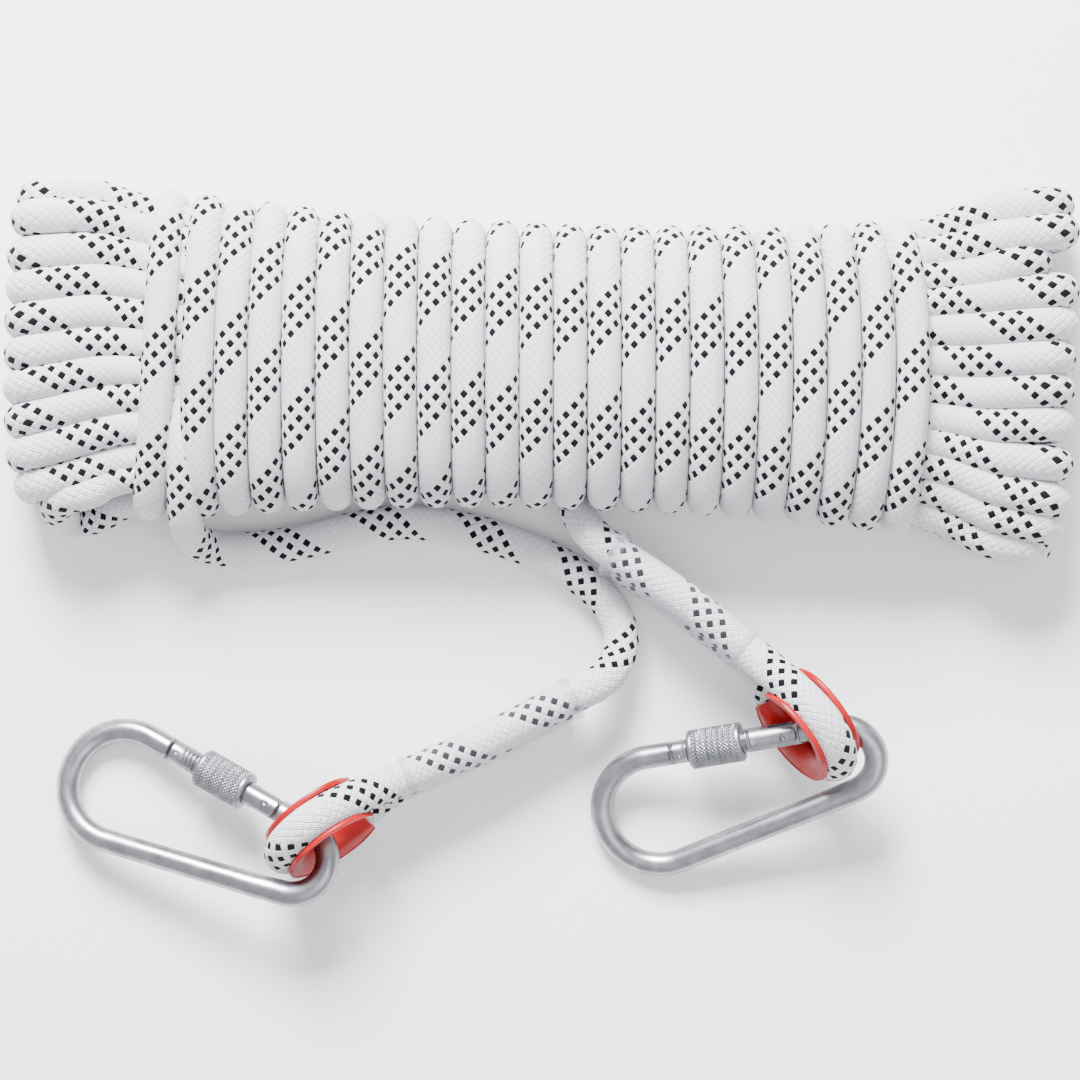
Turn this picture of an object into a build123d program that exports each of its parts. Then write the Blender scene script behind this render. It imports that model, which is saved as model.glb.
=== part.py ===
from build123d import *
import math
import os

# Escape rope, 10 mm kernmantle, wound into a hank, with a screw-lock carabiner in a thimble eye at each end.
# Millimetres. The origin is the middle of the hank's flat underside, +X along the hank towards the right-hand
# hook, +Y away from the hooks, +Z up.

# ---- driving dimensions: rope and hank ----
rope_d = 10.0                # rope diameter
wrap_thick = 9.2             # thickness of the wrapping layer, a rope pressed a little flat
wrap_left = -110.8           # the wrapping's ends, along X
wrap_right = 107.5
hank_half_width = 39.6       # at the hank's waist, over the wrapping
hank_half_height = 24.0      # at the waist, over the wrapping
waist_x = 10.0               # where the hank is narrowest
waist_flare = 5.5            # the half-width gained at flare_reach from the waist
flare_reach = 105.0
hank_drift = -0.03           # the hank's centre line leans by this much of a millimetre per millimetre
hank_flat = 1.6              # depth of the hank that its own weight flattens on the floor

# the bundle's ends, past the wrapping: X, middle in Y, half-width, middle in Z, half-height
left_fan = [(-116, 3.8, 43.0, 18.5, 16.5), (-124, 3.8, 47.4, 17.5, 16.5), (-136, 4.0, 48.8, 17.0, 15.5),
            (-144, 4.2, 44.5, 16.5, 12.5), (-148.5, 4.4, 36.0, 16.0, 6.5)]
right_fan = [(113, -3.9, 43.5, 18.5, 16.5), (121, -3.6, 49.5, 17.5, 16.5), (133, -2.4, 52.2, 17.0, 15.5),
             (143, -1.2, 48.5, 16.5, 12.5), (148.5, -0.6, 40.0, 16.0, 6.5)]

# ---- driving dimensions: eyes ----
seat_r = 13.8                # radius of the rope's centre line round the thimble
thimble_wall = 1.2
seat_gap = 0.1               # between the rope and the thimble's groove
flange_rise = 1.0            # how far the flanges stand past the rope's centre line
leg_taper = 25.0             # half the angle between the thimble's legs, degrees
leg_length = 8.5
neck_reach = 22.5            # from the hole's centre to where the two legs of rope meet
eye_corners = 5              # corners of the route round the thimble
sleeve_wall = 0.5
sleeve_gap = 0.1
sleeve_lap = 4.0             # bare rope between the neck and the sleeve
return_end = 3.0             # bare space in the sleeve's end, past the end of the rope's return leg

# ---- driving dimensions: carabiner ----
rod_d = 6.6
small_bow_r = 9.8            # centre-line radii
big_bow_r = 15.8
bow_spacing = 54.0           # between the bows' centres
hinge_from_bow = 14.2        # along the gate's line, from where the small bow ends to the hinge pin
gate_reach = 31.7            # from the hinge pin to the gate's tip
gate_tail = 3.7              # from the hinge pin to the gate's other end
tip_gap = 0.6                # between the gate's tip and the nose
tail_gap = 0.4               # between the gate's tail and the rod behind it
tenon_t = 2.6
tenon_side_gap = 0.1
cam_r = 3.0                  # the tenon's rounded end, which the plunger presses on
cam_offset = 0.8
slot_depth = 3.9             # of the hinge slot, past the pin
hinge_pin_d = 2.4
pin_gap = 0.04
latch_at = 29.5              # latch pin, from the hinge pin
latch_pin_d = 2.0
latch_slot_from = 26.0
tongue_t = 2.0
tongue_side_gap = 0.1
tongue_from = 27.6
notch_play = 0.25
thread_rise = 0.1            # radial, from the rod to the thread's crests
thread_r = rod_d / 2 + thread_rise
thread_from = 9.0
thread_to = 28.0
nut_d = 11.0
nut_length = 15.2
nut_gap = 0.06               # radial, between the thread's crests and the nut
nut_chamfer = 0.5
bore_d = 2.6                 # the spring's bore in the gate
bore_end = 14.0
plunger_gap = 0.05
plunger_length = 4.6
spring_wall = 0.5
spring_gap = 0.05

# ---- where each eye and hook lies: point, heading, pitch and lean in degrees ----
eye_pose = {"left": ((-59.9, -127.8, 18.5), 32.0, -12.1, 16.8),
            "right": ((73.5, -98.7, 22.3), 128.7, -9.8, -16.2)}
hook_pose = {"left": ((-68.5, -136.8, 19.4), 158.3, -13.0, 5.7),
             "right": ((83.5, -109.1, 19.7), 196.6, -12.84, -9.9)}
nut_rear = {"left": 6.8, "right": 11.7}      # the lock nut's rear face, from the hinge pin

# ---- each rope's route past the eye: two more points of the sleeve, its lean, then the tail to the hank ----
sleeve_route = {"left": [(-18.5, -106.8, 12.5), (9.8, -91.8, 10.54)],
                "right": [(38.3, -64.2, 15.9), (19.9, -52.0, 14.2)]}
sleeve_lean = {"left": 8.0, "right": -8.0}
tail_route = {
    "left": [(18.2, -87.6, 13.5), (23.6, -78.6, 8.6), (21.4, -68.0, 5.2), (12.6, -59.2, 5.0), (-0.3, -51.6, 5.0),
             (-14.1, -47.0, 5.0), (-28.2, -43.7, 5.0), (-40.3, -42.8, 5.0), (-53.5, -45.4, 5.0), (-67.6, -49.0, 5.0),
             (-81.7, -51.2, 5.0), (-92.3, -50.6, 6.4), (-97.2, -48.0, 14.0), (-98.2, -42.0, 23.0)],
    "right": [(13.4, -46.0, 19.6), (8.9, -38.4, 18.0)],
}

up = Vector(0, 0, 1)


def pose_axes(heading, pitch, lean):
    """Forward, left-hand and top directions of a piece that heads, pitches and then leans to its left."""
    h, p, r = math.radians(heading), math.radians(pitch), math.radians(lean)
    forward = Vector(math.cos(h) * math.cos(p), math.sin(h) * math.cos(p), math.sin(p))
    side = up.cross(forward).normalized()
    top = forward.cross(side)
    return forward, side * math.cos(r) - top * math.sin(r), top * math.cos(r) + side * math.sin(r)


def eye_plane(hand):
    """The thimble's own plane: X from the crown to the neck, Y up."""
    point, heading, pitch, lean = eye_pose[hand]
    forward, side, top = pose_axes(heading, pitch, lean)
    return Plane(origin=point, x_dir=forward, z_dir=-side)


def hook_plane(hand):
    """The carabiner's own plane: origin in the small bow, X to the big bow, the gate on the -Y side."""
    point, heading, pitch, lean = hook_pose[hand]
    forward, side, top = pose_axes(heading, pitch, -lean)
    return Plane(origin=point, x_dir=forward, z_dir=top)


# ---- rope ----
def route_radii(points):
    """The largest arc that each corner's two runs leave room for."""
    radii = []
    for a, b, c in zip(points, points[1:], points[2:]):
        before, after = Vector(b) - Vector(a), Vector(c) - Vector(b)
        turn = math.radians(before.get_angle(after))
        radii.append(0.45 * min(before.length, after.length) / math.tan(turn / 2))
    return radii


def rope_tube(name, points):
    """A plain round tube along the route."""
    radii = route_radii(points)
    path = FilletPolyline(*points, radius=radii)
    start = path % 0
    section = Plane(origin=path @ 0, z_dir=start) * Circle(rope_d / 2)
    tube = sweep(section, path=path)
    fair = math.pi * rope_d**2 / 4 * path.length
    print(name, "length", round(path.length, 1), "volume share", round(tube.volume / fair, 4), "radii",
          [round(r) for r in radii])
    return tube


def sleeve_points(hand):
    neck = eye_plane(hand).from_local_coords((neck_reach, 0, 0))
    return [Vector(neck)] + [Vector(p) for p in sleeve_route[hand]]


def stack_direction(hand):
    """From the return leg to the standing leg, which lie one on the other in the sleeve."""
    first, last = sleeve_points(hand)[0], sleeve_points(hand)[-1]
    run = last - first
    heading = math.degrees(math.atan2(run.Y, run.X))
    pitch = math.degrees(math.asin(run.Z / run.length))
    return pose_axes(heading, pitch, sleeve_lean[hand])[2]


def eye_route(hand):
    """From the sleeve, under and round the thimble, and back on top."""
    turn = (180 + 2 * leg_taper) / eye_corners
    corner_r = seat_r / math.cos(math.radians(turn / 2))
    step = stack_direction(hand) * (rope_d / 2)
    neck, middle, end = sleeve_points(hand)
    around = []
    for i in range(eye_corners):
        angle = math.radians(90 - leg_taper + turn * (eye_corners - 0.5 - i))
        around.append(eye_plane(hand).from_local_coords((corner_r * math.cos(angle), corner_r * math.sin(angle), 0)))
    back = (end - middle).normalized() * (return_end + sleeve_gap)
    return [end - back - step, middle - step, neck - step] + around + [neck + step, middle + step, end + step]


def make_tail(hand):
    """One end of the rope: its return leg, the eye, the standing leg and the tail to the hank."""
    return rope_tube("rope_tail_" + hand, eye_route(hand) + [Vector(p) for p in tail_route[hand]])


def make_sleeve(hand):
    """Clear heat-shrink tube over both legs of rope."""
    neck, middle, end = sleeve_points(hand)
    start = neck + (middle - neck).normalized() * sleeve_lap
    path = FilletPolyline(start, middle, end, radius=route_radii([start, middle, end]))
    inner = rope_d / 2 + sleeve_gap
    outer = inner + sleeve_wall
    plane = Plane(origin=start, x_dir=stack_direction(hand), z_dir=middle - start)
    face = SlotCenterToCenter(rope_d, 2 * outer) - SlotCenterToCenter(rope_d, 2 * inner)
    return sweep(plane * face, path=path)


# ---- hank ----
def hank_section(x, inset=0.0):
    """The hank's oval at x over the wrapping, or inset from it: middle in Y, half-width, middle in Z, half-height."""
    half_width = hank_half_width + waist_flare * ((x - waist_x) / flare_reach) ** 2
    half_height = hank_half_height * hank_half_width / half_width
    return x, hank_drift * x, half_width - inset, half_height - hank_flat, half_height - inset


def oval_loft(sections):
    faces = []
    for x, y, half_width, z, half_height in sections:
        plane = Plane(origin=(x, y, z), x_dir=(0, 1, 0), z_dir=(1, 0, 0))
        faces.append(plane * Ellipse(half_width, half_height))
    return loft(faces, ruled=True)


def above_floor(solid):
    half = 400
    return solid & Pos(0, 0, half) * Box(2 * half, 2 * half, 2 * half)


def wrapped_stations(count=9):
    step = (wrap_right - wrap_left) / (count - 1)
    return [wrap_left + i * step for i in range(count)]


def make_hank_loops():
    """The long loops' outer shape: an oval bundle inside the wrapping, fanned out past its ends."""
    inside = [hank_section(x, wrap_thick) for x in wrapped_stations()]
    return above_floor(oval_loft(left_fan[::-1] + inside + right_fan))


def make_hank_wrapping(loops):
    """The wrapping turns' outer shape, seated on the loops."""
    outer = oval_loft([hank_section(x) for x in wrapped_stations()])
    return above_floor(outer) - loops


# ---- thimble ----
def make_thimble(hand):
    """A plastic channel bent to a teardrop, open towards the neck."""
    groove_r = rope_d / 2 + seat_gap
    outer_r = groove_r + thimble_wall
    channel = Circle(outer_r) - Circle(groove_r) - Pos(flange_rise + outer_r, 0) * Rectangle(2 * outer_r, 2 * outer_r)
    start = 90 - leg_taper
    at_seat = Plane(origin=(seat_r, 0, 0), x_dir=(1, 0, 0), z_dir=(0, 1, 0))
    ring = revolve(at_seat * channel, Axis.Z, 180 + 2 * leg_taper)
    legs = [extrude(at_seat * channel, amount=-leg_length)]
    legs.append(Rot(0, 0, 180 + 2 * leg_taper) * extrude(at_seat * channel, amount=leg_length))
    return eye_plane(hand).location * (Rot(0, 0, start) * (ring + legs[0] + legs[1]))


# ---- carabiner, in its own plane ----
def bow_taper():
    return math.asin((big_bow_r - small_bow_r) / bow_spacing)


def gate_line():
    """Where the small bow ends on the gate's side, and the gate's direction."""
    a = bow_taper()
    return Vector(-small_bow_r * math.sin(a), -small_bow_r * math.cos(a)), Vector(math.cos(a), -math.sin(a))


def gate_plane():
    """The gate's own plane: origin at the hinge pin, X to the tip, Y inward."""
    start, along = gate_line()
    return Plane(origin=start + along * hinge_from_bow, x_dir=along, z_dir=(0, 0, 1))


def along_gate(radius, start, end):
    """A cylinder on the gate's centre line, in the gate's own plane."""
    return Pos((start + end) / 2, 0, 0) * Rot(0, 90, 0) * Cylinder(radius, end - start)


def make_hook_body():
    """One bent rod from the hinge tenon round both bows to the nose, with its latch tongue."""
    a = bow_taper()
    start, along = gate_line()
    rod_start = start + along * (hinge_from_bow - gate_tail - tail_gap)
    nose_face = start + along * (hinge_from_bow + gate_reach + tip_gap)
    spine_small = Vector(-small_bow_r * math.sin(a), small_bow_r * math.cos(a))
    spine_big = Vector(bow_spacing - big_bow_r * math.sin(a), big_bow_r * math.cos(a))
    nose_big = Vector(spine_big.X, -spine_big.Y)
    path = Wire([
        Edge.make_line(rod_start, start),
        Edge.make_three_point_arc(start, Vector(-small_bow_r, 0), spine_small),
        Edge.make_line(spine_small, spine_big),
        Edge.make_three_point_arc(spine_big, Vector(bow_spacing + big_bow_r, 0), nose_big),
        Edge.make_line(nose_big, nose_face),
    ])
    rod = sweep(Plane(origin=rod_start, z_dir=start - rod_start) * Circle(rod_d / 2), path=path)

    tail = -gate_tail - tail_gap
    neck = Pos(tail / 2, 0, 0) * Box(-tail, rod_d, tenon_t)
    cam = Pos(0, cam_offset, 0) * Cylinder(cam_r, tenon_t)
    tenon = (neck + cam) & along_gate(rod_d / 2, tail, slot_depth)
    tenon -= Cylinder(hinge_pin_d / 2 + pin_gap, 2 * rod_d)

    nose = gate_reach + tip_gap
    tongue = along_gate(rod_d / 2, tongue_from, nose) & Pos((tongue_from + nose) / 2, 0, 0) * Box(
        nose - tongue_from, 2 * rod_d, tongue_t)
    notch_r = latch_pin_d / 2 + notch_play / 2
    notch = Pos(latch_at - notch_play / 2, rod_d / 2, 0) * Box(2 * notch_r + notch_play, rod_d, 2 * rod_d)
    tongue -= notch + Pos(latch_at - notch_play / 2, 0, 0) * Cylinder(notch_r + notch_play / 2, 2 * rod_d)
    return rod + gate_plane().location * (tenon + tongue)


def make_gate():
    """The gate rod: rounded tail, hinge slot, spring bore, thread, and a slot in its tip for the nose's tongue."""
    gate = along_gate(rod_d / 2, -gate_tail, gate_reach) + along_gate(thread_r, thread_from, thread_to)
    slot_t = tenon_t + 2 * tenon_side_gap
    gate -= Pos((slot_depth - 2 * gate_tail) / 2, 0, 0) * Box(slot_depth + 2 * gate_tail, 2 * rod_d, slot_t)
    gate -= Pos(-gate_tail / 2, 0, 0) * Box(gate_tail, 2 * rod_d, 2 * rod_d) - Cylinder(gate_tail, 2 * rod_d)
    gate -= Cylinder(hinge_pin_d / 2, 2 * rod_d)
    gate -= along_gate(bore_d / 2, slot_depth - 1, bore_end)
    tip_slot = gate_reach - latch_slot_from
    gate -= Pos(latch_slot_from + tip_slot, 0, 0) * Box(2 * tip_slot, 2 * rod_d, tongue_t + 2 * tongue_side_gap)
    gate -= Pos(latch_at, 0, 0) * Cylinder(latch_pin_d / 2, 2 * rod_d)
    return gate_plane().location * gate


def make_cross_pin(at, diameter):
    """A pin across the gate, its ends dressed flush with the rod."""
    return gate_plane().location * (Pos(at, 0, 0) * Cylinder(diameter / 2, 2 * rod_d) & along_gate(
        rod_d / 2, at - rod_d, at + rod_d))


def make_plunger():
    """It starts a gap away from the furthest point of the tenon's cam."""
    start = cam_r + plunger_gap
    return gate_plane().location * along_gate(bore_d / 2 - plunger_gap, start, start + plunger_length)


def make_gate_spring():
    """The return spring's envelope, between the plunger and the end of the bore."""
    start = cam_r + plunger_gap + plunger_length
    outer = bore_d / 2 - spring_gap
    return gate_plane().location * (along_gate(outer, start, bore_end) - along_gate(outer - spring_wall, start, bore_end))


def make_lock_nut(rear):
    nut = chamfer(Cylinder(nut_d / 2, nut_length).edges().filter_by(GeomType.CIRCLE), nut_chamfer)
    nut = Pos(rear + nut_length / 2, 0, 0) * Rot(0, 90, 0) * nut
    return gate_plane().location * (nut - along_gate(thread_r + nut_gap, rear - 1, rear + nut_length + 1))


def hook_pieces(hand):
    pieces = {
        "carabiner_body": make_hook_body(),
        "gate": make_gate(),
        "gate_hinge_pin": make_cross_pin(0, hinge_pin_d),
        "gate_latch_pin": make_cross_pin(latch_at, latch_pin_d),
        "gate_plunger": make_plunger(),
        "gate_spring": make_gate_spring(),
        "lock_nut": make_lock_nut(nut_rear[hand]),
    }
    where = hook_plane(hand).location
    return {name + "_" + hand: where * solid for name, solid in pieces.items()}


def print_joints(hand):
    """Where the joints' points and axes are."""
    eye, hook, gate = eye_plane(hand), hook_plane(hand), gate_plane()
    hinge = hook.from_local_coords(gate.origin)
    along = hook.from_local_coords(gate.origin + gate.x_dir) - hinge
    big = hook.from_local_coords((bow_spacing, 0, 0))
    print(hand, "swing", tuple(eye.origin), tuple(eye.z_dir), "gate hinge", tuple(hinge), tuple(hook.z_dir))
    print(hand, "gate along", tuple(along), "big bow", tuple(big))


os.makedirs("parts", exist_ok=True)
nodes = {"rope_hank_loops": make_hank_loops()}
nodes["rope_hank_wrapping"] = make_hank_wrapping(nodes["rope_hank_loops"])
for hand in ("left", "right"):
    nodes["rope_tail_" + hand] = make_tail(hand)
    nodes["thimble_" + hand] = make_thimble(hand)
    nodes["splice_sleeve_" + hand] = make_sleeve(hand)
    nodes.update(hook_pieces(hand))
    print_joints(hand)
for name, solid in nodes.items():
    export_step(solid, "parts/" + name + ".step")
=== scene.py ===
import math

import bmesh
import bpy
import numpy as np
from mathutils import Matrix, Vector
from mathutils.geometry import intersect_point_line


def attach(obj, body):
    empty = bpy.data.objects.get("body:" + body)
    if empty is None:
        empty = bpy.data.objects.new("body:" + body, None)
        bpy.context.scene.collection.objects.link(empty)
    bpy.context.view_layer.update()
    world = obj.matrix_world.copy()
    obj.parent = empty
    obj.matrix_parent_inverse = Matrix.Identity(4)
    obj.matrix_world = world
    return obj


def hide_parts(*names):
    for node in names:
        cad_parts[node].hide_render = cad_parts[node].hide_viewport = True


# Escape rope hank with two thimble eyes and screw-lock carabiners. Metres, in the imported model's frame:
# origin in the middle of the hank's underside, +X along the hank, +Y away from the hooks, +Z up.

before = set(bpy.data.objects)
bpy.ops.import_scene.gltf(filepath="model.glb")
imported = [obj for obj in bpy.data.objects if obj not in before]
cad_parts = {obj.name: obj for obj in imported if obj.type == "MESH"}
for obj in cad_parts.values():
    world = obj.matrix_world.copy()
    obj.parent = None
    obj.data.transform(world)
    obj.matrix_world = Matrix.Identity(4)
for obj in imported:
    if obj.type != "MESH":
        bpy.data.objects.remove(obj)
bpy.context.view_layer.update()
MM = 0.001
UP = Vector((0, 0, 1))


# ---- camera, floor and light ----
def make_camera():
    data = bpy.data.cameras.new("camera")
    data.lens = 105.9
    data.sensor_width = 36.0
    data.clip_start = 0.05
    camera = bpy.data.objects.new("camera", data)
    camera.location = (0.0, -0.0482, 0.900)
    bpy.context.collection.objects.link(camera)
    bpy.context.scene.camera = camera


def make_area_light(name, location, target, size, energy):
    data = bpy.data.lights.new(name, "AREA")
    data.size = size
    data.energy = energy
    lamp = bpy.data.objects.new(name, data)
    lamp.location = location
    lamp.rotation_euler = (Vector(target) - Vector(location)).to_track_quat("-Z", "Y").to_euler()
    bpy.context.collection.objects.link(lamp)


# ---- node helpers ----
class Shading:
    """Builds one procedural material; sums and products of sockets and numbers read as plain calls."""

    def __init__(self, name):
        self.material = bpy.data.materials.new(name)
        self.material.use_nodes = True
        self.nodes = self.material.node_tree.nodes
        self.links = self.material.node_tree.links
        self.surface = self.nodes["Principled BSDF"]
        self.output = self.nodes["Material Output"]

    def put(self, socket, value):
        if isinstance(value, bpy.types.NodeSocket):
            self.links.new(value, socket)
        else:
            socket.default_value = value

    def math(self, operation, *values):
        node = self.nodes.new("ShaderNodeMath")
        node.operation = operation
        for socket, value in zip(node.inputs, values):
            self.put(socket, value)
        return node.outputs[0]

    def blend(self, factor, first, second):
        node = self.nodes.new("ShaderNodeMix")
        node.data_type = "RGBA"
        self.put(node.inputs["Factor"], factor)
        self.put(node.inputs[6], first)
        self.put(node.inputs[7], second)
        return node.outputs[2]

    def ramp(self, value, low, high, to_low=0.0, to_high=1.0):
        node = self.nodes.new("ShaderNodeMapRange")
        node.interpolation_type = "SMOOTHSTEP"
        for socket, v in zip(node.inputs, (value, low, high, to_low, to_high)):
            self.put(socket, v)
        return node.outputs[0]

    def noise(self, vector, scale, detail=3.0, roughness=0.5):
        node = self.nodes.new("ShaderNodeTexNoise")
        self.put(node.inputs["Vector"], vector)
        node.inputs["Scale"].default_value = scale
        node.inputs["Detail"].default_value = detail
        node.inputs["Roughness"].default_value = roughness
        return node.outputs["Fac"]

    def scaled(self, vector, scale):
        node = self.nodes.new("ShaderNodeMapping")
        self.put(node.inputs["Vector"], vector)
        node.inputs["Scale"].default_value = scale
        return node.outputs[0]

    def place(self):
        return self.nodes.new("ShaderNodeTexCoord").outputs["Object"]

    def uv(self, name):
        node = self.nodes.new("ShaderNodeUVMap")
        node.uv_map = name
        split = self.nodes.new("ShaderNodeSeparateXYZ")
        self.links.new(node.outputs[0], split.inputs[0])
        return split.outputs[0], split.outputs[1], node.outputs[0]

    def bump(self, height, distance, strength=1.0, under=None):
        node = self.nodes.new("ShaderNodeBump")
        self.put(node.inputs["Height"], height)
        node.inputs["Distance"].default_value = distance
        node.inputs["Strength"].default_value = strength
        if under is not None:
            self.links.new(under, node.inputs["Normal"])
        return node.outputs[0]

    def finish(self, colour, roughness, normal=None, metallic=0.0, **others):
        self.put(self.surface.inputs["Base Color"], colour)
        self.put(self.surface.inputs["Roughness"], roughness)
        self.put(self.surface.inputs["Metallic"], metallic)
        if normal is not None:
            self.links.new(normal, self.surface.inputs["Normal"])
        for name, value in others.items():
            self.put(self.surface.inputs[name.replace("_", " ")], value)
        return self.material


# ---- materials ----
ROPE_WHITE = (0.87, 0.87, 0.90, 1)
# painted shade: the darker grey-blue that the braid's colour takes in the crevices between strands and between
# yarns
ROPE_SHADE = (0.36, 0.36, 0.43, 1)
ROPE_SOILED = (0.66, 0.66, 0.69, 1)
TRACER_BLACK = (0.004, 0.004, 0.006, 1)
TRACER_FUZZ = (0.02, 0.02, 0.024, 1)
STRANDS = 12                 # carriers that wind each way
TRACERS = (0.0, 2.0, 4.0)    # the carriers, of each twelve, that hold black yarn
YARNS = 3                    # side by side in each carrier's strand


def braid_material():
    """Kernmantle sheath: two families of strands over and under each other, three of one family black."""
    m = Shading("braided_sheath")
    along, around = m.uv("braid")[:2]
    a = m.math("MULTIPLY", m.math("SUBTRACT", around, along), float(STRANDS))
    b = m.math("MULTIPLY", m.math("ADD", around, along), float(STRANDS))
    index_a, index_b = m.math("FLOOR", a), m.math("FLOOR", b)
    across_a, across_b = m.math("FRACT", a), m.math("FRACT", b)
    b_on_top = m.math("FLOORED_MODULO", m.math("ADD", index_a, index_b), 2.0)
    carrier = m.math("FLOORED_MODULO", index_a, float(STRANDS))
    black = 0.0
    for tracer in TRACERS:
        black = m.math("ADD", m.math("COMPARE", carrier, tracer, 0.25), black)
    edge_a = m.math("ABSOLUTE", m.math("SUBTRACT", across_a, 0.5))
    edge_b = m.math("ABSOLUTE", m.math("SUBTRACT", across_b, 0.5))
    corners = m.math("ADD", m.math("POWER", edge_a, 4.0), m.math("POWER", edge_b, 4.0))
    square = m.math("POWER", corners, 0.25)
    inside = m.ramp(square, 0.50, 0.56, 1.0, 0.0)
    dot = m.math("MULTIPLY", m.math("MULTIPLY", black, m.math("SUBTRACT", 1.0, b_on_top)), inside)

    round_a = m.math("SUBTRACT", 1.0, m.math("POWER", m.math("MULTIPLY", edge_a, 2.0), 2.4))
    round_b = m.math("SUBTRACT", 1.0, m.math("POWER", m.math("MULTIPLY", edge_b, 2.0), 2.4))
    pillow = m.math("MULTIPLY", round_a, round_b)
    yarn_a = m.math("ABSOLUTE", m.math("SINE", m.math("MULTIPLY", across_a, 3.1416 * YARNS)))
    yarn_b = m.math("ABSOLUTE", m.math("SINE", m.math("MULTIPLY", across_b, 3.1416 * YARNS)))
    yarn = m.math("ADD", m.math("MULTIPLY", yarn_a, m.math("SUBTRACT", 1.0, b_on_top)),
                  m.math("MULTIPLY", yarn_b, b_on_top))
    crown = m.math("POWER", m.math("MAXIMUM", pillow, 0.0), 0.45)
    height = m.math("MULTIPLY", crown, m.math("ADD", 0.4, m.math("MULTIPLY", yarn, 0.6)))

    place = m.place()
    soiling = m.noise(place, 45.0, 4.0, 0.6)
    fuzz = m.noise(place, 2600.0, 2.0)
    # painted highlight and painted shade: the colour runs from ROPE_SHADE in the crevices between strands and
    # yarns to ROPE_WHITE on the yarns' crowns
    painted_yarn_light = m.ramp(m.math("ADD", m.math("MULTIPLY", yarn, 0.75), m.math("MULTIPLY", crown, 0.25)), 0.0, 0.85)
    white_with_painted_shade = m.blend(painted_yarn_light, ROPE_SHADE, ROPE_WHITE)
    white = m.blend(m.ramp(soiling, 0.5, 0.85, 0.0, 0.35), white_with_painted_shade, ROPE_SOILED)
    dark = m.blend(m.ramp(fuzz, 0.45, 0.9), TRACER_BLACK, TRACER_FUZZ)
    colour = m.blend(dot, white, dark)
    normal = m.bump(height, 0.0005, 0.9)
    normal = m.bump(fuzz, 0.00008, 0.4, normal)
    return m.finish(colour, m.math("ADD", 0.62, m.math("MULTIPLY", fuzz, 0.3)), normal,
                    Specular_IOR_Level=0.12)


def cut_end_material():
    """Heat-sealed end of the rope."""
    m = Shading("sealed_rope_end")
    grain = m.noise(m.place(), 900.0, 4.0)
    colour = m.blend(grain, (0.55, 0.53, 0.5, 1), (0.8, 0.79, 0.77, 1))
    return m.finish(colour, 0.45, m.bump(grain, 0.0004, 0.6))


def zinc_material(name, light, dark, roughness):
    """Bright zinc plating: faint spangle, fine rubbed scratches and duller hollows."""
    m = Shading(name)
    place = m.place()
    spangle = m.noise(place, 160.0, 5.0, 0.65)
    scratches = m.noise(m.scaled(place, (1.0, 1.0, 14.0)), 420.0, 6.0, 0.7)
    dull = m.noise(place, 60.0, 3.0)
    colour = m.blend(m.ramp(spangle, 0.35, 0.7), dark, light)
    rough = m.math("ADD", m.ramp(dull, 0.3, 0.8, roughness, roughness + 0.16),
                   m.ramp(scratches, 0.55, 0.8, 0.0, 0.12))
    normal = m.bump(scratches, 0.00006, 0.35)
    normal = m.bump(spangle, 0.0002, 0.25, normal)
    return m.finish(colour, rough, normal, metallic=1.0)


def thimble_material():
    """Moulded red plastic with a slight orange-peel and rubbed lips."""
    m = Shading("red_plastic")
    place = m.place()
    peel = m.noise(place, 900.0, 2.0)
    patches = m.noise(place, 90.0, 4.0, 0.6)
    colour = m.blend(m.ramp(patches, 0.35, 0.75), (0.30, 0.0015, 0.003, 1), (0.40, 0.004, 0.006, 1))
    rough = m.ramp(patches, 0.3, 0.8, 0.30, 0.46)
    return m.finish(colour, rough, m.bump(peel, 0.00008, 0.4), Specular_IOR_Level=0.3)


def sleeve_material():
    """Clear heat-shrink film: seen through, with a soft shine, a little cloudy at its ends."""
    m = Shading("clear_heat_shrink")
    along, _, both = m.uv("film")
    wrinkle = m.noise(m.scaled(both, (40.0, 6.0, 1.0)), 1.0, 4.0, 0.6)
    ends = m.math("MAXIMUM", m.ramp(along, 0.0, 0.06, 1.0, 0.0), m.ramp(along, 0.92, 1.0))
    m.finish((0.50, 0.52, 0.58, 1), m.ramp(wrinkle, 0.3, 0.7, 0.12, 0.3), m.bump(wrinkle, 0.0006, 0.5))
    clear = m.nodes.new("ShaderNodeBsdfTransparent")
    facing = m.nodes.new("ShaderNodeLayerWeight")
    facing.inputs["Blend"].default_value = 0.35
    body = m.math("ADD", m.math("MULTIPLY", facing.outputs["Facing"], 0.12), m.math("MULTIPLY", ends, 0.30))
    shown = m.math("MINIMUM", m.math("ADD", body, 0.02), 0.8)
    mix = m.nodes.new("ShaderNodeMixShader")
    m.put(mix.inputs[0], shown)
    m.links.new(clear.outputs[0], mix.inputs[1])
    m.links.new(m.surface.outputs[0], mix.inputs[2])
    m.links.new(mix.outputs[0], m.output.inputs["Surface"])
    return m.material


def floor_material():
    m = Shading("pale_floor")
    grain = m.noise(m.place(), 300.0, 2.0)
    colour = m.blend(grain, (0.93, 0.93, 0.94, 1), (0.95, 0.95, 0.955, 1))
    return m.finish(colour, 0.9, m.bump(grain, 0.0001, 0.1))


# ---- mesh helpers ----
def make_object(name, vertices, faces, smooth=True):
    mesh = bpy.data.meshes.new(name)
    mesh.from_pydata([tuple(v) for v in vertices], [], [tuple(f) for f in faces])
    mesh.update()
    if smooth:
        mesh.shade_smooth()
    made = bpy.data.objects.new(name, mesh)
    bpy.context.collection.objects.link(made)
    return made


def face_outward(made, sharp=None):
    """Turns every closed shell's faces outward and, if asked, keeps edges above an angle sharp."""
    work = bmesh.new()
    work.from_mesh(made.data)
    bmesh.ops.recalc_face_normals(work, faces=work.faces)
    if sharp is not None:
        for edge in work.edges:
            if len(edge.link_faces) == 2:
                edge.smooth = edge.calc_face_angle(0.0) < math.radians(sharp)
    work.to_mesh(made.data)
    work.free()
    return made


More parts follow.
